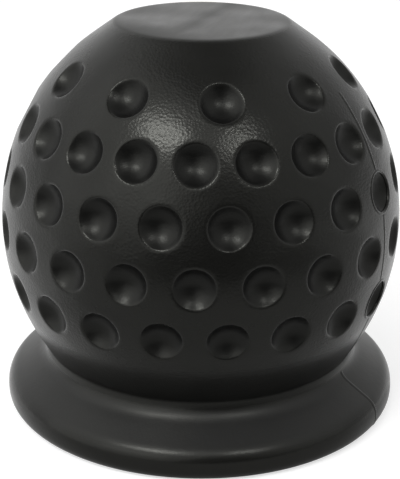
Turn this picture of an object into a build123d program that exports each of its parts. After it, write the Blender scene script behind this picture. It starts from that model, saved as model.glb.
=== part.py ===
from build123d import *

import math
import os

# Tow ball cover, moulded in one piece of black rubber.
# Millimetres, +Z up along the axis, z = 0 on the ring that the cover stands on, front at -Y.

# Inside: the pocket for the towing ball, the throat that it snaps through, and the lead-in
towing_ball_width = 50.0
pocket_clearance = 0.2
throat_grip = 1.5
lead_in_flare = 3.0
lead_in_height = 5.0

# Outside of the ball, an ellipse with its wall at the widest place, and the flat crown, whose
# edge stands a little proud of the ellipse
ball_wall = 7.8
crown_width = 27.9
crown_lift = 0.6
overall_height = 65.0

# Neck under the ball, with a round above and below it
neck_wall = 3.3
neck_height = 2.9
crease_round = 1.0
neck_round = 2.0

# Flared skirt: a sloping face, a round shoulder, a short upright edge and a round foot
skirt_flare = 6.4
skirt_height = 8.3
skirt_edge = 0.7
shoulder_round = 3.2
foot_round = 1.9

# Dimples: a ball-ended cutter sunk square to the skin, in rows an even angle apart
cutter_width = 8.4
dimple_depth = 1.85
top_row_latitude = 48.2
row_angle = 15.9
row_counts = (10, 20, 20, 20, 20)

# Radii build outwards from the towing ball
pocket_radius = towing_ball_width / 2 + pocket_clearance
throat_radius = towing_ball_width / 2 - throat_grip
mouth_radius = throat_radius + lead_in_flare
ball_radius = pocket_radius + ball_wall
crown_radius = crown_width / 2
neck_radius = throat_radius + neck_wall
skirt_radius = neck_radius + skirt_flare
cutter_radius = cutter_width / 2

# The ellipse meets the neck at the crease and passes just under the crown's edge, which sets
# its height
crease_angle = math.acos(neck_radius / ball_radius)
crown_angle = math.acos(crown_radius / ball_radius)
crease_z = skirt_height + neck_height
ball_rise = overall_height - crown_lift - crease_z
ball_half_height = ball_rise / (math.sin(crease_angle) + math.sin(crown_angle))
ball_centre_z = crease_z + ball_half_height * math.sin(crease_angle)

# A short cone runs from the crown's edge down to where it touches the ellipse
edge_height = (overall_height - ball_centre_z) * ball_radius / ball_half_height
edge_reach = math.hypot(crown_radius, edge_height)
cone_angle = math.atan2(edge_height, crown_radius) - math.acos(ball_radius / edge_reach)
cone_r = ball_radius * math.cos(cone_angle)
cone_z = ball_centre_z + ball_half_height * math.sin(cone_angle)

# The throat cuts the pocket sphere below its widest place
throat_top_z = ball_centre_z - math.sqrt(pocket_radius**2 - throat_radius**2)
pocket_top_z = ball_centre_z + pocket_radius

# The skirt's sloping face runs from the neck and touches the shoulder's round
shoulder_r = skirt_radius - shoulder_round
shoulder_z = foot_round + skirt_edge
face_rise = skirt_height - shoulder_z
face_run = neck_radius - shoulder_r
touch_angle = math.atan2(face_rise, face_run) - math.acos(shoulder_round / math.hypot(face_run, face_rise))
touch_r = shoulder_r + shoulder_round * math.cos(touch_angle)
touch_z = shoulder_z + shoulder_round * math.sin(touch_angle)

# Half section, from the crown down the outside, round the skirt and up the inside
with BuildSketch(Plane.XZ) as section:
    with BuildLine():
        Polyline((0, overall_height), (crown_radius, overall_height), (cone_r, cone_z))
        EllipticalCenterArc(
            (0, ball_centre_z),
            ball_radius,
            ball_half_height,
            start_angle=-math.degrees(crease_angle),
            arc_size=math.degrees(crease_angle + cone_angle),
        )
        Polyline((neck_radius, crease_z), (neck_radius, skirt_height), (touch_r, touch_z))
        CenterArc((shoulder_r, shoulder_z), shoulder_round, 0, math.degrees(touch_angle))
        Line((skirt_radius, shoulder_z), (skirt_radius, foot_round))
        CenterArc((skirt_radius - foot_round, foot_round), foot_round, -90, 90)
        Polyline(
            (skirt_radius - foot_round, 0),
            (mouth_radius, 0),
            (throat_radius, lead_in_height),
            (throat_radius, throat_top_z),
        )
        ThreePointArc(
            (throat_radius, throat_top_z), (pocket_radius, ball_centre_z), (0, pocket_top_z)
        )
        Line((0, pocket_top_z), (0, overall_height))
    make_face()
    neck_corner = section.vertices().sort_by_distance((neck_radius, skirt_height))[0]
    fillet(neck_corner, neck_round)

body = revolve(section.sketch, Axis.Z)
rings = body.edges().filter_by(GeomType.CIRCLE)
crease = rings.sort_by(lambda ring: abs(ring.arc_center.Z - crease_z))[0]
body = fillet(crease, crease_round)

# Every second row is turned by half a step, so that the dimples stagger
cutters = []
for row, count in enumerate(row_counts):
    latitude = math.radians(top_row_latitude - row * row_angle)
    reach = 1 / math.hypot(math.cos(latitude) / ball_radius, math.sin(latitude) / ball_half_height)
    skin_r = reach * math.cos(latitude)
    skin_z = reach * math.sin(latitude)
    tilt = math.atan2(skin_z / ball_half_height**2, skin_r / ball_radius**2)
    stand_off = cutter_radius - dimple_depth
    place_r = skin_r + stand_off * math.cos(tilt)
    place_z = ball_centre_z + skin_z + stand_off * math.sin(tilt)
    turn = 180 / max(row_counts) if row % 2 else 0
    for place in range(count):
        around = Rot(0, 0, turn + place * 360 / count - 90)
        square = Rot(0, -math.degrees(tilt), 0)
        cutters.append(around * Pos(place_r, 0, place_z) * square * Sphere(cutter_radius))
body = body - cutters

os.makedirs("parts", exist_ok=True)
export_step(body, "parts/tow_ball_cover.step")
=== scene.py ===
# %% [markdown]
# A tow ball cover is a thick cap of black rubber that snaps over a towing ball and keeps its
# grease in. The whole cover is one moulding, so this scene dresses the one CAD solid with one
# finer mesh. Lengths below are millimetres, which are easy to read, and the finished mesh is
# brought to metres at the end.

# %% Load the frame
import math

import bmesh
import bpy
from mathutils import Matrix, Vector


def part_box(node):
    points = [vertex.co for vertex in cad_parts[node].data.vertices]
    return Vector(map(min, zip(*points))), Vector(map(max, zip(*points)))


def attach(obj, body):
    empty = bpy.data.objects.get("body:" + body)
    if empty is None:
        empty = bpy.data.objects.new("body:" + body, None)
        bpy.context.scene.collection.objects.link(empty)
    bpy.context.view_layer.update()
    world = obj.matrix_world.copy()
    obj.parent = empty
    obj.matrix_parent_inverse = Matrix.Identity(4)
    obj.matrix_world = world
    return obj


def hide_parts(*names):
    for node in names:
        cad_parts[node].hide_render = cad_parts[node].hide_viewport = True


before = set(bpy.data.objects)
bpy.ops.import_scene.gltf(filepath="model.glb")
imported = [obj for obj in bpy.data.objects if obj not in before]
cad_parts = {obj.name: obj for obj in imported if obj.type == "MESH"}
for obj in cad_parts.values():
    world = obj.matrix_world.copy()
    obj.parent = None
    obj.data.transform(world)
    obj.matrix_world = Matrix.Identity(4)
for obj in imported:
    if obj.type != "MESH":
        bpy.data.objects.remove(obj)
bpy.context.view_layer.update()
METRE = 0.001
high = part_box("tow_ball_cover")[1]
CROWN_Z = round(high.z / METRE, 1)
SKIRT_RADIUS = round(high.x / METRE, 1)
print("height", CROWN_Z, "skirt radius", SKIRT_RADIUS)

# %% [markdown]
# The outside of the ball is an ellipse a little taller than it is wide. A place on it is given
# by its latitude, the angle up from the widest place as seen from the centre, because the rows
# of dimples lie at even steps of that angle. The ellipse meets the neck at the crease and
# passes just under the edge of the crown, which gives its height and its centre.

# %% Shape of the ball
BALL_RADIUS = 33.0
CROWN_RADIUS = 13.95
CROWN_LIFT = 0.6
NECK_RADIUS = 26.8
CREASE_Z = 11.2

crease_share = math.sqrt(1 - (NECK_RADIUS / BALL_RADIUS) ** 2)
crown_share = math.sqrt(1 - (CROWN_RADIUS / BALL_RADIUS) ** 2)
HALF_HEIGHT = (CROWN_Z - CROWN_LIFT - CREASE_Z) / (crease_share + crown_share)
CENTRE_Z = CREASE_Z + HALF_HEIGHT * crease_share


def on_ball(latitude):
    angle = math.radians(latitude)
    reach = 1 / math.hypot(math.cos(angle) / BALL_RADIUS, math.sin(angle) / HALF_HEIGHT)
    return reach * math.cos(angle), CENTRE_Z + reach * math.sin(angle)


def latitude_of(r, z):
    return math.degrees(math.atan2(z - CENTRE_Z, r))


def skin_normal(r, z):
    return Vector((r / BALL_RADIUS**2, 0, (z - CENTRE_Z) / HALF_HEIGHT**2)).normalized()


TOP_ROW = 48.2
ROW_STEP = 15.9
ROWS = (10, 20, 20, 20, 20)
top_edge = TOP_ROW + ROW_STEP / 2
print("half height", round(HALF_HEIGHT, 2), "centre", round(CENTRE_Z, 2), "rows start at", top_edge)

# %% [markdown]
# The section of the cover is one line of points from the middle of the crown down the outside,
# round the skirt and up the inside to the top of the pocket. A drawn curve could give it too,
# but plain points put the edges of the mesh just where the dimples and the rounds need them.
# Points close together hold a corner crisp when the mesh is smoothed later, and wide steps let
# a face stay soft. The crown is not quite flat: it has the slight dome of moulded rubber.

# %% Section of the crown and the ball
BRICK = 6
CROWN_HOLD = 0.9
CROWN_STEPS = (0, 6, 11, CROWN_RADIUS - CROWN_HOLD, CROWN_RADIUS)
CROWN_FALL = 0.12
CONE_SHARES = (0.16, 0.4, 0.7, 1)
UNDER_LATITUDES = (-26.5, -29.6, -32.7, -35.5)


def between(start, end, shares):
    return [tuple(a + (b - a) * t for a, b in zip(start, end)) for t in shares]


crown = [(r, CROWN_Z - CROWN_FALL * (r / CROWN_RADIUS) ** 2) for r in CROWN_STEPS]
crown_edge = crown[-1]
edge_height = (crown_edge[1] - CENTRE_Z) * BALL_RADIUS / HALF_HEIGHT
edge_reach = math.hypot(CROWN_RADIUS, edge_height)
touch = math.atan2(edge_height, CROWN_RADIUS) - math.acos(BALL_RADIUS / edge_reach)
cone_foot = (BALL_RADIUS * math.cos(touch), CENTRE_Z + HALF_HEIGHT * math.sin(touch))
cone = between(crown_edge, cone_foot, CONE_SHARES)
middle = [on_ball(top_edge - i * ROW_STEP / BRICK) for i in range(BRICK * len(ROWS) + 1)]
under = [on_ball(latitude) for latitude in UNDER_LATITUDES]
print("points on the crown and the ball", len(crown + cone + middle + under))

# %% [markdown]
# Below the ball, the crease is a small round and the neck one wide sweep down to the sloping
# face of the skirt. The skirt ends in a round shoulder, a short upright edge and a round foot.
# Each round is an arc that touches the lines beside it, so its centre follows from the angle
# between them, and no corner shows where they meet.

# %% Section of the neck and the skirt
SKIRT_Z = 8.3
CREASE_ROUND = 1.0
CREASE_SINK = 0.5
NECK_ROUND = 3.4
SHOULDER_ROUND = 3.2
SHOULDER_Z = 2.6
FOOT_ROUND = 1.9
FACE_SHARES = (0.12, 0.4, 0.7, 0.92)


def arc(centre, radius, start, end, steps):
    points = []
    for i in range(steps + 1):
        angle = math.radians(start + (end - start) * i / steps)
        points.append((centre[0] + radius * math.cos(angle), centre[1] + radius * math.sin(angle)))
    return points


def half_tangent(angle):
    return math.tan(math.radians(angle / 2))


crease_r = NECK_RADIUS - CREASE_SINK
crease_z = CENTRE_Z - HALF_HEIGHT * math.sqrt(1 - (crease_r / BALL_RADIUS) ** 2)
crease_normal = skin_normal(crease_r, crease_z)
lean = math.degrees(math.atan2(-crease_normal.z, crease_normal.x))
crease_centre = (crease_r + CREASE_ROUND, crease_z - CREASE_ROUND * half_tangent(lean))
crease = arc(crease_centre, CREASE_ROUND, 180 - lean, 180, steps=3)

shoulder_r = SKIRT_RADIUS - SHOULDER_ROUND
rise = SKIRT_Z - SHOULDER_Z
run = NECK_RADIUS - shoulder_r
tilt = math.degrees(math.atan2(rise, run) - math.acos(SHOULDER_ROUND / math.hypot(rise, run)))
corner_z = SKIRT_Z + CREASE_SINK / math.tan(math.radians(tilt))
neck_centre = (crease_r + NECK_ROUND, corner_z + NECK_ROUND * half_tangent(tilt))
neck = arc(neck_centre, NECK_ROUND, 180, 180 + tilt, steps=6)[1:]
shoulder = arc((shoulder_r, SHOULDER_Z), SHOULDER_ROUND, tilt, 0, steps=6)
foot = arc((SKIRT_RADIUS - FOOT_ROUND, FOOT_ROUND), FOOT_ROUND, 0, -90, steps=5)
face = between(neck[-1], shoulder[0], FACE_SHARES)
outside = crown + cone + middle + under + crease + neck + face + shoulder + foot
print("skirt slopes by", round(90 - tilt, 1), "degrees, points outside", len(outside))

# %% [markdown]
# Inside there is a round pocket for the towing ball, a narrower throat that the ball snaps
# through, and a cone that leads it in. Nobody sees much of it in use, but the cover is open
# below, so it is modelled as fully as the outside.

# %% Section of the inside
POCKET_RADIUS = 25.2
THROAT_RADIUS = 23.5
MOUTH_RADIUS = 26.5
LEAD_IN_Z = 5.0
LIP_STEP = 1
RING_SHARES = (0.5, 0.94, 1)
LEAD_IN_SHARES = (0.05, 0.5, 0.95, 1)
THROAT_SHARES = (0.02, 0.35, 0.7, 0.98, 1)

mouth = (MOUTH_RADIUS, 0)
throat_foot = (THROAT_RADIUS, LEAD_IN_Z)
lip_angle = math.degrees(math.acos(THROAT_RADIUS / POCKET_RADIUS))
lip = (THROAT_RADIUS, CENTRE_Z - POCKET_RADIUS * math.sin(math.radians(lip_angle)))
ring = between(foot[-1], mouth, RING_SHARES)
lead_in = between(mouth, throat_foot, LEAD_IN_SHARES)
throat = between(throat_foot, lip, THROAT_SHARES)
pocket = arc((0, CENTRE_Z), POCKET_RADIUS, LIP_STEP - lip_angle, 90, steps=12)
pocket[-1] = (0, pocket[-1][1])
section = outside + ring + lead_in + throat + pocket
print("points in the section", len(section), "throat length", round(lip[1] - LEAD_IN_Z, 2))

# %% [markdown]
# Spinning the section about the upright axis gives the plain cover, as a lathe would. A dimple
# takes 18 degrees of a full row, so each step of the spin is a sixth of that, and the edges of
# the mesh can frame every dimple. The two ends of the section lie on the axis, where the spin
# leaves a heap of equal points, so doubles are merged before the normals are turned outwards.

# %% Spin the cover
SHARE = 360 / max(ROWS)
MERGE = 0.001

cover = bmesh.new()
chain = [cover.verts.new((0, -r, z)) for r, z in section]
links = [cover.edges.new(pair) for pair in zip(chain, chain[1:])]
bmesh.ops.spin(
    cover,
    geom=chain + links,
    cent=(0, 0, 0),
    axis=(0, 0, 1),
    angle=math.tau,
    steps=BRICK * max(ROWS),
    use_merge=True,
)
bmesh.ops.remove_doubles(cover, verts=cover.verts, dist=MERGE)
bmesh.ops.recalc_face_normals(cover, faces=cover.faces)
print("faces after the spin", len(cover.faces))

# %% [markdown]
# Each dimple gets a brick of small faces, six by six, and these are joined into one face. The
# bricks of one row lie across the joints of the next, as in a wall, because the dimples
# stagger. The top row has a dimple only in every second brick.

# %% Join the bricks
INSIDE_LIMIT = 29


def row_turn(row):
    return SHARE / 2 if row % 2 else 0


bricks = {}
for small in cover.faces:
    c = small.calc_center_median()
    r = math.hypot(c.x, c.y)
    row = math.floor((top_edge - latitude_of(r, c.z)) / ROW_STEP)
    if math.hypot(r, c.z - CENTRE_Z) < INSIDE_LIMIT or row not in range(len(ROWS)):
        continue
    around = math.degrees(math.atan2(c.x, -c.y)) - row_turn(row)
    place = round(around / SHARE) % max(ROWS)
    if place % (max(ROWS) // ROWS[row]) == 0:
        bricks.setdefault((row, place), []).append(small)
dimple_faces = {}
for spot, small_faces in bricks.items():
    dimple_faces[spot] = bmesh.ops.dissolve_faces(cover, faces=small_faces)["region"][0]
print("dimples", len(dimple_faces), "corners each", {len(f.verts) for f in dimple_faces.values()})

# %% [markdown]
# A dimple is the print of a ball-ended pin in the mould. A boolean cut would give its shape but
# a ragged rim, so each joined face is inset ring by ring instead. The first ring lies on the
# skin just outside the rim, the second is the rim itself, and the others lie on the pin's ball.
# The rings close to the rim keep it crisp, and the smoothing still leaves the small round that
# moulded rubber has there.

# %% Tools for a dimple
PIN_RADIUS = 4.2
DIMPLE_DEPTH = 1.85


def to_skin(p):
    size = math.sqrt((p.x**2 + p.y**2) / BALL_RADIUS**2 + (p.z - CENTRE_Z) ** 2 / HALF_HEIGHT**2)
    return Vector((p.x / size, p.y / size, CENTRE_Z + (p.z - CENTRE_Z) / size))


def lay_ring(ring_verts, hub, east, north, radius, settle):
    order = list(ring_verts)
    angles = [math.atan2((v.co - hub).dot(north), (v.co - hub).dot(east)) for v in order]
    first = min(range(len(order)), key=lambda i: abs(angles[i]))
    way = 1 if angles[(first + 1) % len(order)] > 0 else -1
    for i in range(len(order)):
        angle = angles[first] + way * i * math.tau / len(order)
        flat = hub + radius * (east * math.cos(angle) + north * math.sin(angle))
        order[(first + i) % len(order)].co = settle(flat)


def dimple_axes(row, place):
    r, z = on_ball(TOP_ROW - row * ROW_STEP)
    turn = Matrix.Rotation(math.radians(row_turn(row) + SHARE * place - 90), 3, "Z")
    return turn @ Vector((r, 0, z)), turn @ skin_normal(r, z)


def rim_radius(hub, normal):
    centre = Vector((0, 0, CENTRE_Z))
    reach = (hub + normal * (PIN_RADIUS - DIMPLE_DEPTH) - centre).length
    local = (hub - centre).length
    return math.sqrt(PIN_RADIUS**2 - ((reach**2 + PIN_RADIUS**2 - local**2) / (2 * reach)) ** 2)


print("rims of the top row", round(rim_radius(*dimple_axes(0, 0)), 2), "in radius")

# %% [markdown]
# Now every dimple is sunk. A number on each point, 1 in a bowl and 0 elsewhere, tells the
# material later where the bowls are, because the pins have a finer and duller finish than the
# rest of the mould, and because the bowls are darkened with painted shade.

# %% Sink the dimples
RIM_HOLD = 0.36
BOWL_SHARES = (0.64, 0.32)
INSET = 0.1
in_bowl = cover.verts.layers.float.new("in_bowl")


def sink_dimple(bowl, hub, normal):
    east = Vector((0, 0, 1)).cross(normal).normalized()
    north = normal.cross(east)
    pin = hub + normal * (PIN_RADIUS - DIMPLE_DEPTH)
    rim = rim_radius(hub, normal)

    def to_pin(p):
        side = (p - pin) - normal * (p - pin).dot(normal)
        return pin + side - normal * math.sqrt(PIN_RADIUS**2 - side.length_squared)

    rings = [(rim + RIM_HOLD, to_skin), (rim, to_skin), (rim - RIM_HOLD, to_pin)]
    rings += [(rim * share, to_pin) for share in BOWL_SHARES]
    for radius, settle in rings:
        bmesh.ops.inset_individual(cover, faces=[bowl], thickness=INSET)
        lay_ring(bowl.verts, hub, east, north, radius, settle)
        for v in bowl.verts:
            v[in_bowl] = radius < rim
    middle_vert = bmesh.ops.poke(cover, faces=[bowl])["verts"][0]
    middle_vert.co = hub - normal * DIMPLE_DEPTH
    middle_vert[in_bowl] = 1


for (row, place), bowl in dimple_faces.items():
    sink_dimple(bowl, *dimple_axes(row, place))
print("cage faces", len(cover.faces))

# %% [markdown]
# The finished cage becomes a mesh in metres. One level of subdivision rounds the rims, the
# shoulder and the foot, and smooth shading hides the facets. The piece stands for the CAD node.

# %% Finish the cover


def make_piece(cage, name):
    bmesh.ops.recalc_face_normals(cage, faces=cage.faces)
    bmesh.ops.scale(cage, vec=(METRE, METRE, METRE), verts=cage.verts)
    piece_mesh = bpy.data.meshes.new(name)
    cage.to_mesh(piece_mesh)
    cage.free()
    piece_mesh.shade_smooth()
    piece = bpy.data.objects.new(name, piece_mesh)
    bpy.context.scene.collection.objects.link(piece)
    smooth = piece.modifiers.new("smooth", "SUBSURF")
    smooth.levels = 1
    smooth.render_levels = 1
    print(name, "faces", len(piece_mesh.polygons))
    return piece


rubber_cover = make_piece(cover, "rubber_cover")
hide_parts("tow_ball_cover")
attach(rubber_cover, "root")

# %% [markdown]
# The mould opens in two halves, and a little rubber creeps into the joint between them. It
# leaves a fine line down two sides of the cover. A bump could fake it, but it would lie wrong
# on the rounds, so the line is taken from the real skin: the smoothed mesh is cut by the plane
# of the joint, and the cut edges on the outside are kept. They stop at the rims and short of
# the crown, as the line does on the real cover.

# %% Cut along the mould's joint
JOINT_TURN = 54
LINE_TOP = 46
CUT_MARGIN = 1e-5
SKIN_MARGIN = 0.06
LINE_MARGIN = 0.3

seen = rubber_cover.evaluated_get(bpy.context.evaluated_depsgraph_get())
smoothed = bpy.data.meshes.new_from_object(seen)
line = bmesh.new()
line.from_mesh(smoothed)
bpy.data.meshes.remove(smoothed)
bmesh.ops.scale(line, vec=(1 / METRE, 1 / METRE, 1 / METRE), verts=line.verts)
joint_turn = math.radians(JOINT_TURN)
across = Vector((math.cos(joint_turn), math.sin(joint_turn), 0))
bmesh.ops.bisect_plane(
    line,
    geom=line.verts[:] + line.edges[:] + line.faces[:],
    dist=CUT_MARGIN,
    plane_co=(0, 0, 0),
    plane_no=across,
    clear_inner=True,
    clear_outer=True,
)


def off_the_line(v):
    r = math.hypot(v.co.x, v.co.y)
    if v.co.z > CREASE_Z:
        return (to_skin(v.co) - v.co).length > SKIN_MARGIN or latitude_of(r, v.co.z) > LINE_TOP
    return r < NECK_RADIUS - LINE_MARGIN or v.co.z < LINE_MARGIN


bmesh.ops.delete(line, geom=[v for v in line.verts if off_the_line(v)], context="VERTS")
bmesh.ops.delete(line, geom=[v for v in line.verts if not v.link_edges], context="VERTS")
print("edges on the line", len(line.edges))

# %% [markdown]
# The line is a low ridge, because the two halves of the mould don't meet quite flush. Extruding
# the edges and solidifying the strip gives every step of the line four corners. They are laid
# as a root in the rubber, a crest, a long gentle flank on the left and a short one on the right.

# %% Raise the ridge
CREST_HEIGHT = 0.13
ROOT_DEPTH = 0.3
STRIP_WIDTH = 0.2
LEFT_FLANK = 0.9
RIGHT_FLANK = 0.4
FLANK_SINK = 0.04


def away_from_rubber(v):
    ends = [e.other_vert(v).co for e in v.link_edges]
    along = ends[0] - (ends[1] if len(ends) > 1 else v.co)
    out = along.cross(across).normalized()
    core = Vector((0, 0, CENTRE_Z))
    if v.co.z < CREASE_Z:
        core = Vector((v.co.x, v.co.y, 0)).normalized() * THROAT_RADIUS
        core.z = SKIRT_Z / 2
    return out if out.dot(v.co - core) > 0 else -out


def twin(v):
    return next(w for w in (e.other_vert(v) for e in v.link_edges) if w not in places)


roots = {v: away_from_rubber(v) for v in line.verts}
places = {v: v.co.copy() for v in roots}
raised = bmesh.ops.extrude_edge_only(line, edges=line.edges[:])["geom"]
tips = {}
for tip in (g for g in raised if isinstance(g, bmesh.types.BMVert)):
    root = min((e.other_vert(tip) for e in tip.link_edges), key=lambda v: (v.co - tip.co).length)
    tip.co = places[root] + roots[root] * CREST_HEIGHT
    places[tip] = places[root]
    tips[tip] = roots[root]
bmesh.ops.recalc_face_normals(line, faces=line.faces)
bmesh.ops.solidify(line, geom=line.faces[:], thickness=STRIP_WIDTH)
for root, out in roots.items():
    twin(root).co = places[root] - across * LEFT_FLANK - out * FLANK_SINK
    root.co = places[root] - out * ROOT_DEPTH
for tip, out in tips.items():
    twin(tip).co = places[tip] + out * CREST_HEIGHT
    tip.co = places[tip] + across * RIGHT_FLANK - out * FLANK_SINK
bmesh.ops.recalc_face_normals(line, faces=line.faces)
print("faces on the ridge", len(line.faces))

# %% [markdown]
# Where the joint crosses a dimple, it runs round the pin that prints the dimple, and leaves a
# fine ring on the rim. A small circle spun about the dimple's axis makes such a ring. Ridge and
# rings are one piece, rounded by one level of subdivision.

# %% Rings on the line
RING_TUBE = 0.38
RING_SINK = 0.25
TUBE_SIDES = 8
RING_STEPS = 48

for row, place in bricks:
    hub, normal = dimple_axes(row, place)
    if abs(hub.dot(across)) > LINE_MARGIN:
        continue
    east = Vector((0, 0, 1)).cross(normal).normalized()
    start = to_skin(hub + east * rim_radius(hub, normal)) - normal * RING_SINK
    tube = bmesh.ops.create_circle(line, segments=TUBE_SIDES, radius=RING_TUBE)["verts"]
    stand = Matrix((east, normal, east.cross(normal))).transposed().to_4x4()
    bmesh.ops.transform(line, matrix=Matrix.Translation(start) @ stand, verts=tube)
    hoop = {e for v in tube for e in v.link_edges}
    bmesh.ops.spin(
        line,
        geom=tube + list(hoop),
        cent=hub,
        axis=normal,
        angle=math.tau,
        steps=RING_STEPS,
        use_merge=True,
    )
bmesh.ops.remove_doubles(line, verts=line.verts, dist=MERGE)
mould_line = make_piece(line, "mould_line")
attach(mould_line, "root")

# %% [markdown]
# Materials, floor and room are all made of shader nodes. One helper adds a node, sets its plain
# values and wires what comes from other nodes. The others are the steps that come up most
# often: to stretch one range of values to another, to do arithmetic, and to mix two values by a
# mask.

# %% Shader helpers


def feed(tree, socket, value):
    if isinstance(value, bpy.types.NodeSocket):
        tree.links.new(value, socket)
    else:
        socket.default_value = value


def add_node(tree, kind, inputs, **settings):
    node = tree.nodes.new("ShaderNode" + kind)
    for name, value in settings.items():
        setattr(node, name, value)
    for name, value in inputs.items():
        feed(tree, node.inputs[name], value)
    return node


def stretch(tree, value, start, end, first, last):
    limits = {"From Min": start, "From Max": end, "To Min": first, "To Max": last}
    return add_node(tree, "MapRange", {"Value": value, **limits}).outputs["Result"]


def maths(tree, operation, *values):
    node = add_node(tree, "Math", {}, operation=operation)
    for socket, value in zip(node.inputs, values):
        feed(tree, socket, value)
    return node.outputs["Value"]


def mix(tree, kind, mask, first, second):
    inputs = {"Factor": mask, "A": first, "B": second}
    return add_node(tree, "Mix", inputs, data_type=kind).outputs["Result"]


print("shader helpers ready")

# %% [markdown]
# The cover is black rubber straight from the mould. Its colour hardly changes, so gloss and
# grain do most of the work, and both differ from place to place. Painted maps could say where
# each place is. On a turned shape the height of a point says it as well, so each place gets a
# mask that fades between two heights. The bowls have their own number on the mesh.

# %% Places on the rubber
CROWN_BAND = (CROWN_Z - 0.42, CROWN_Z - 0.17)
BALL_BAND = (CREASE_Z - 1, CREASE_Z + 3)
NECK_BAND = (SKIRT_Z + 0.9, SKIRT_Z + 1.9)
SKIRT_BAND = (SKIRT_Z + 0.2, SKIRT_Z + 1)
SHOULDER_BAND = (SHOULDER_Z + 1.5, SHOULDER_Z + 3)
SPECULAR = 0.25
GLOSS_TINT = (0.99, 1, 0.93, 1)

rubber = bpy.data.materials.new("black_rubber")
rubber.use_nodes = True
tree = rubber.node_tree
skin = tree.nodes["Principled BSDF"]
skin.inputs["Specular IOR Level"].default_value = SPECULAR
skin.inputs["Specular Tint"].default_value = GLOSS_TINT
where = add_node(tree, "TexCoord", {}).outputs["Object"]
height = add_node(tree, "SeparateXYZ", {"Vector": where}).outputs["Z"]


def by_height(band, below, above):
    return stretch(tree, height, band[0] * METRE, band[1] * METRE, below, above)


crown_mask = by_height(CROWN_BAND, 0, 1)
ball_mask = by_height(BALL_BAND, 0, 1)
round_mask = by_height(NECK_BAND, 1, 0)
face_mask = maths(tree, "MULTIPLY", by_height(SKIRT_BAND, 1, 0), by_height(SHOULDER_BAND, 0, 1))
bowl_mask = add_node(tree, "Attribute", {}, attribute_name="in_bowl").outputs["Fac"]
print("mask nodes", len(tree.nodes))

# %% [markdown]
# The colour is nearly black, with soft blotches. The bowls are a little blacker, painted shade
# for the shade in the hollows. The sloping face of the skirt is a lighter grey, painted light
# for the light that upward face catches, and the crown has the streaks of the tool that faced
# its mould. One noise gives the blotches, and one that is drawn out along a line gives the streaks.

# %% Colour of the rubber
BLOTCHES = 90
STREAKS = 420
STREAK_TURN = -69
STREAK_DRAW = (0.3, 1, 1)
NOISE_ROUGHNESS = 0.6
BLOTCH_TONES = ((0.3, (0.0034, 0.0034, 0.0031, 1)), (0.75, (0.006, 0.006, 0.0055, 1)))
STREAK_TONES = ((0.35, (0.005, 0.005, 0.0046, 1)), (0.7, (0.012, 0.012, 0.011, 1)))
# painted shade: the bowls are darker to stand for the shade inside the hollows
BOWL_PAINTED_SHADE = (0.0014, 0.0014, 0.0014, 1)
# painted light: the skirt's sloping face is lighter to stand for the light it catches
FACE_PAINTED_LIGHT = (0.012, 0.012, 0.012, 1)


def noise(scale, detail, place=where):
    inputs = {"Vector": place, "Scale": scale, "Detail": detail, "Roughness": NOISE_ROUGHNESS}
    return add_node(tree, "TexNoise", inputs).outputs["Fac"]


def turned(turn):
    inputs = {"Vector": where, "Rotation": (0, 0, math.radians(turn))}
    return add_node(tree, "Mapping", inputs).outputs["Vector"]


def two_tones(value, tones):
    ramp = add_node(tree, "ValToRGB", {"Fac": value})
    for element, (position, tone) in zip(ramp.color_ramp.elements, tones):
        element.position = position
        element.color = tone
    return ramp.outputs["Color"]


drawn = add_node(tree, "Mapping", {"Vector": turned(STREAK_TURN), "Scale": STREAK_DRAW})
streaks = noise(STREAKS, detail=3, place=drawn.outputs["Vector"])
colour = two_tones(noise(BLOTCHES, detail=4), BLOTCH_TONES)
# painted shade in the bowls
colour = mix(tree, "RGBA", bowl_mask, colour, BOWL_PAINTED_SHADE)
# painted light on the skirt's sloping face
colour = mix(tree, "RGBA", face_mask, colour, FACE_PAINTED_LIGHT)
colour = mix(tree, "RGBA", crown_mask, colour, two_tones(streaks, STREAK_TONES))
tree.links.new(colour, skin.inputs["Base Color"])
print("colour nodes", len(tree.nodes))

# %% [markdown]
# Rubber is satin rather than shiny. The ball has the most gloss, with soft patches where the
# mould was smoother, and so have the rounds of the neck and the shoulder. The bowls, the
# skirt's face and the underside of the ball are duller. On the crown, a faint dull line shows
# where two flows of rubber met, and one side is worn. Each step mixes one place into the rest.

# %% Gloss of the rubber
PATCHES = 140
NOISE_SPAN = (0.3, 0.7)
SATIN = (0.24, 0.29)
FACED = (0.29, 0.36)
BOWL_ROUGHNESS = 0.36
UNDER_BAND = (CREASE_Z + 1.5, CREASE_Z + 8)
UNDER_ROUGHNESS = (0.48, 0.2)
ROUND_ROUGHNESS = 0.24
SKIRT_ROUGHNESS = 0.38
DULL_ROUGHNESS = 0.62
KNIT_TURN = 30
KNIT_REACH = 2.2
KNIT_SHARE = 0.3
WORN_TURN = 140
WORN_START = 7
WORN_END = 14
WORN_SHARE = 0.6


def along_crown(turn):
    return add_node(tree, "SeparateXYZ", {"Vector": turned(turn)}).outputs["X"]


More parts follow.
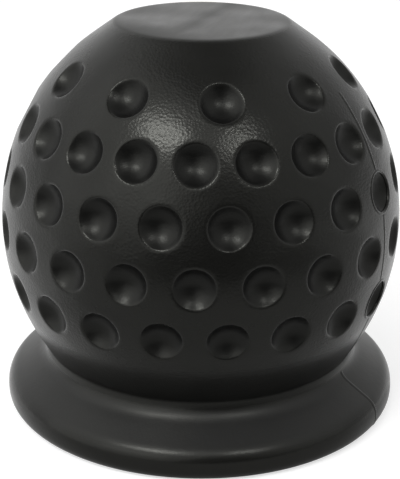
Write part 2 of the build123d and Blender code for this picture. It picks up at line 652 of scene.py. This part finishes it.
gloss = stretch(tree, noise(PATCHES, detail=3), *NOISE_SPAN, *SATIN)
gloss = mix(tree, "FLOAT", bowl_mask, gloss, BOWL_ROUGHNESS)
gloss = maths(tree, "MAXIMUM", gloss, by_height(UNDER_BAND, *UNDER_ROUGHNESS))
gloss = mix(tree, "FLOAT", round_mask, gloss, ROUND_ROUGHNESS)
gloss = mix(tree, "FLOAT", face_mask, gloss, SKIRT_ROUGHNESS)
faced = stretch(tree, streaks, *NOISE_SPAN, *FACED)
off_knit = maths(tree, "ABSOLUTE", along_crown(KNIT_TURN))
knit_mask = stretch(tree, off_knit, 0, KNIT_REACH * METRE, KNIT_SHARE, 0)
worn_span = (WORN_START * METRE, WORN_END * METRE)
worn_mask = stretch(tree, along_crown(WORN_TURN), *worn_span, 0, WORN_SHARE)
dull_mask = maths(tree, "MAXIMUM", knit_mask, worn_mask)
faced = mix(tree, "FLOAT", dull_mask, faced, DULL_ROUGHNESS)
gloss = mix(tree, "FLOAT", crown_mask, gloss, faced)
tree.links.new(gloss, skin.inputs["Roughness"])
print("colour and gloss nodes", len(tree.nodes))

# %% [markdown]
# The grain of the mould breaks up the highlights on the ball. It is far too fine for mesh, so
# it is a bump of small pits, over soft waves, over a broad sag that only the crown has. It
# fades on the crown, on the skirt and in the bowls, where the mould had a finer finish.

# %% Grain of the rubber
GRAIN = 2400
GRAIN_DEPTH = 0.021
GRAIN_SMOOTHNESS = 0.25
WAVE = 220
WAVE_DEPTH = 0.04
SAG = 60
SAG_DEPTH = 1.2
CROWN_GRAIN = 0.25
SKIRT_GRAIN = 0.35
BOWL_GRAIN = 0.5


def bump(texture, depth, strength, below=None):
    inputs = {"Height": texture, "Distance": depth * METRE, "Strength": strength}
    if below:
        inputs["Normal"] = below
    return add_node(tree, "Bump", inputs).outputs["Normal"]


pit_inputs = {"Vector": where, "Scale": GRAIN, "Smoothness": GRAIN_SMOOTHNESS}
pits = add_node(tree, "TexVoronoi", pit_inputs, feature="SMOOTH_F1").outputs["Distance"]
off_crown = stretch(tree, crown_mask, 0, 1, 1, CROWN_GRAIN)
on_skin = stretch(tree, ball_mask, 0, 1, SKIRT_GRAIN, 1)
off_bowls = stretch(tree, bowl_mask, 0, 1, 1, BOWL_GRAIN)
strength = maths(tree, "MULTIPLY", maths(tree, "MULTIPLY", on_skin, off_crown), off_bowls)
sag = bump(noise(SAG, detail=1), SAG_DEPTH, crown_mask)
waves = bump(noise(WAVE, detail=2), WAVE_DEPTH, off_crown, sag)
tree.links.new(bump(pits, GRAIN_DEPTH, strength, waves), skin.inputs["Normal"])
rubber_cover.data.materials.append(rubber)
mould_line.data.materials.append(rubber)
print("rubber nodes", len(tree.nodes))

# %% [markdown]
# The floor is a plain pale sheet, a diffuse surface that keeps the cover's soft shadow. For
# rays that come from the camera, or off something glossy or clear, it also glows, which brings
# it up to white without any more light on the cover.

# %% Floor
FLOOR_SIZE = 30
FLOOR_TONE = 0.5
GLOW = 0.6


def flat_sheet(name, size, place):
    sheet_mesh = bpy.data.meshes.new(name)
    sheet = bmesh.new()
    bmesh.ops.create_grid(sheet, x_segments=1, y_segments=1, size=1)
    bmesh.ops.transform(sheet, matrix=Matrix.LocRotScale(place, None, size), verts=sheet.verts)
    sheet.to_mesh(sheet_mesh)
    sheet.free()
    piece = bpy.data.objects.new(name, sheet_mesh)
    bpy.context.scene.collection.objects.link(piece)
    return piece


def matt(name):
    material = bpy.data.materials.new(name)
    material.use_nodes = True
    paper = material.node_tree.nodes["Principled BSDF"]
    paper.inputs["Roughness"].default_value = 1
    paper.inputs["Specular IOR Level"].default_value = 0
    return material, paper


floor = flat_sheet("floor", Vector((FLOOR_SIZE, FLOOR_SIZE, 1)), Vector((0, 0, 0)))
pale, paper = matt("pale_floor")
tree = pale.node_tree
paper.inputs["Base Color"].default_value = (FLOOR_TONE, FLOOR_TONE, FLOOR_TONE, 1)
paper.inputs["Emission Color"].default_value = (1, 1, 1, 1)
ray = add_node(tree, "LightPath", {})
shown = ray.outputs["Is Camera Ray"]
for kind in ("Is Glossy Ray", "Is Transmission Ray"):
    shown = maths(tree, "MAXIMUM", shown, ray.outputs[kind])
tree.links.new(maths(tree, "MULTIPLY", shown, GLOW), paper.inputs["Emission Strength"])
floor.data.materials.append(pale)
print("floor", 2 * FLOOR_SIZE, "metres wide")

# %% [markdown]
# Shiny black things mirror the white floor, and their lower half turns grey. Photographers lay
# a darker card in front of them, just out of the picture. This one is only there for
# reflections. It gets darker towards the camera, and its edge under the cover is as pale as the
# floor, so that no line shows in the rubber.

# %% Card in front
CARD_HALF_WIDTH = 0.25
CARD_NEAR = -0.005
CARD_FAR = -2.5
CARD_RISE = 0.0005
CARD_TONES = (0.55, 0.05)
CARD_TURN = (-0.085, -0.15)
CARD_EDGE_END = -0.03
CARD_EDGE_GAIN = 1.8

card_size = Vector((CARD_HALF_WIDTH, (CARD_NEAR - CARD_FAR) / 2, 1))
card = flat_sheet("front_card", card_size, Vector((0, (CARD_NEAR + CARD_FAR) / 2, CARD_RISE)))
card.visible_camera = False
card.visible_diffuse = False
card.visible_shadow = False
grey, paper = matt("grey_card")
tree = grey.node_tree
on_card = add_node(tree, "TexCoord", {}).outputs["Object"]
depth = add_node(tree, "SeparateXYZ", {"Vector": on_card}).outputs["Y"]
card_tone = stretch(tree, depth, *CARD_TURN, *CARD_TONES)
card_edge = stretch(tree, depth, CARD_NEAR, CARD_EDGE_END, CARD_EDGE_GAIN, 1)
tree.links.new(maths(tree, "MULTIPLY", card_tone, card_edge), paper.inputs["Base Color"])
card.data.materials.append(grey)
print("card from", CARD_NEAR, "to", CARD_FAR)

# %% [markdown]
# Black rubber shows mostly what it mirrors. The room is white behind the cover and on its
# sides, which draws its pale edges, and dim on the camera's side and overhead. A picture of a
# studio could be wrapped round it, but a ramp along one level direction, dimmed towards the
# zenith, does the same and is easy to change.

# %% Room
CAMERA_TURN = -7.57
BRIGHT_TURN = CAMERA_TURN - 160
ROOM_TONES = ((0, 0.06), (0.03, 0.15), (0.115, 0.43), (0.415, 0.62), (0.75, 0.85), (1, 1.1))
OVERHEAD_TONES = ((0, 1), (0.7, 1), (0.95, 0.5), (1, 0.4))


def heading(turn, height):
    side = math.radians(turn)
    lift = math.radians(height)
    return Vector((math.sin(side) * math.cos(lift), -math.cos(side) * math.cos(lift), math.sin(lift)))


def grey_ramp(tree, value, stops):
    ramp = add_node(tree, "ValToRGB", {"Fac": value})
    marks = ramp.color_ramp.elements
    marks.remove(marks[1])
    marks[0].position = stops[0][0]
    for position, _ in stops[1:]:
        marks.new(position)
    for mark, (_, level) in zip(marks, stops):
        mark.color = (level, level, level, 1)
    return ramp.outputs["Color"]


world = bpy.data.worlds.new("studio")
bpy.context.scene.world = world
world.use_nodes = True
tree = world.node_tree
look = add_node(tree, "TexCoord", {}).outputs["Generated"]
back = add_node(tree, "VectorMath", {}, operation="DOT_PRODUCT")
tree.links.new(look, back.inputs[0])
back.inputs[1].default_value = heading(BRIGHT_TURN, 0)
depth = stretch(tree, back.outputs["Value"], -1, 1, 0, 1)
lift = add_node(tree, "SeparateXYZ", {"Vector": look}).outputs["Z"]
room = grey_ramp(tree, depth, ROOM_TONES)
overhead = grey_ramp(tree, lift, OVERHEAD_TONES)
background = tree.nodes["Background"]
tree.links.new(maths(tree, "MULTIPLY", room, overhead), background.inputs["Strength"])
background.inputs["Color"].default_value = (1, 1, 1, 1)
print("world nodes", len(tree.nodes))

# %% [markdown]
# Two wide walls of light stand left and right and give the ball its soft shading. Two small
# softboxes hang higher and further to the front: a dimple is a hollow mirror, so each box shows
# as a spot in most dimples, and as a patch of grain on the shoulder of the ball. A low glow on
# the left lifts the rows below. All are area lamps, as soft as a lamp behind cloth.

# %% Softboxes
LAMP_DISTANCE = 0.8
aim = Vector((0, 0, CENTRE_Z * METRE))


def softbox(name, turn, height, width, tall, power):
    lamp = bpy.data.lights.new(name, "AREA")
    lamp.shape = "RECTANGLE"
    lamp.size = width
    lamp.size_y = tall
    lamp.energy = power
    box = bpy.data.objects.new(name, lamp)
    away = heading(turn, height)
    box.location = aim + away * LAMP_DISTANCE
    box.rotation_euler = away.to_track_quat("Z", "Y").to_euler()
    box.visible_camera = False
    bpy.context.scene.collection.objects.link(box)
    print(name, "at", [round(v, 2) for v in box.location], "watts", power)


softbox("left_wall", turn=-60, height=40, width=1.5, tall=1.2, power=4.6)
softbox("right_wall", turn=52, height=40, width=1.0, tall=1.0, power=0.95)
softbox("left_glow", turn=-46, height=27, width=0.5, tall=0.25, power=0.35)
softbox("left_box", turn=-41, height=51.5, width=0.32, tall=0.09, power=2.25)
softbox("right_box", turn=24, height=47, width=0.16, tall=0.06, power=0.85)

# %% [markdown]
# The camera stands a little to the left of the front and looks down by about 22 degrees, from
# seven ball radii away. Its place was fitted to the dimples, which make a good grid to measure
# by. The lens is given as the focal length in pixels of an image 479 pixels high.

# %% Camera
IMAGE_HEIGHT = 479
FOCAL_PIXELS = 1391.35
SENSOR = 36
EYE_REACH = 218.45
EYE_Z = 114.08
PITCH = 21.673
ROLL = 0.348
SWING = CAMERA_TURN + 0.0245
NEAREST = 0.01

level = heading(CAMERA_TURN, 0)
eye = (level * EYE_REACH + Vector((0, 0, EYE_Z))) * METRE
ahead = -heading(SWING, PITCH)
lean_over = Matrix.Rotation(-math.radians(ROLL), 3, ahead)
right = lean_over @ ahead.cross(Vector((0, 0, 1))).normalized()
up = right.cross(ahead)
lens = bpy.data.cameras.new("camera")
lens.sensor_width = SENSOR
lens.lens = SENSOR * FOCAL_PIXELS / IMAGE_HEIGHT
lens.clip_start = NEAREST
camera = bpy.data.objects.new("camera", lens)
camera.matrix_world = Matrix.Translation(eye) @ Matrix((right, up, -ahead)).transposed().to_4x4()
bpy.context.scene.collection.objects.link(camera)
bpy.context.scene.camera = camera
bpy.context.scene.view_settings.view_transform = "Standard"
print("camera at", [round(v, 4) for v in eye], "lens", round(lens.lens, 1))
